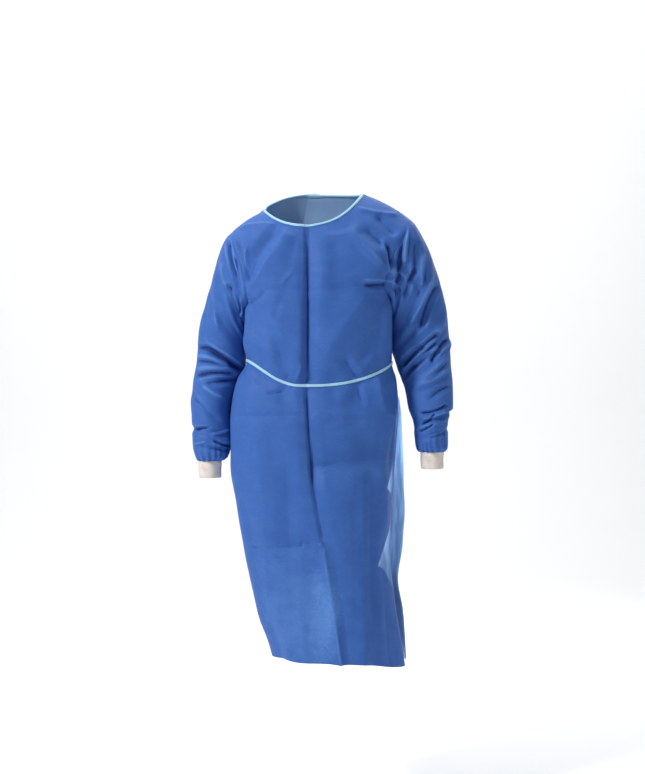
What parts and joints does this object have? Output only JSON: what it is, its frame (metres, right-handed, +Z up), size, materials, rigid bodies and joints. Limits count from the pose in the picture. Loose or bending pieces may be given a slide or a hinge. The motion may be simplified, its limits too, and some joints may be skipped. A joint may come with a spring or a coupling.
{
  "type": "isolation gown",
  "caption": "Long-sleeved knee-length isolation gown of nonwoven cloth, worn and hollow, with an overlapping open back, knit cuffs, a bound neck and a waist tie.",
  "frame": {"origin": "the middle of the neck opening, level with the shoulder seams, where the shoulders carry the gown", "axes": "+Z up, -Y is the front, +X towards the gown's left side as worn"},
  "size_m": [0.6345, 0.3538, 1.1515],
  "materials": {
    "nonwoven_cloth": "matt nonwoven",
    "knit_cuff": "ribbed knit",
    "tie_tape": "soft tape"
  },
  "bodies": {
    "root": {"front": "nonwoven_cloth", "back_left": "nonwoven_cloth", "back_right": "nonwoven_cloth", "sleeve_left": "nonwoven_cloth", "sleeve_right": "nonwoven_cloth", "cuff_left": "knit_cuff", "cuff_right": "knit_cuff", "neck_binding": "tie_tape", "belt": "tie_tape", "neck_knot": "tie_tape", "waist_knot": "tie_tape", "neck_tail_left": "tie_tape", "neck_tail_right": "tie_tape", "waist_tail_left": "tie_tape", "waist_tail_right": "tie_tape"}
  },
  "joints": []
}
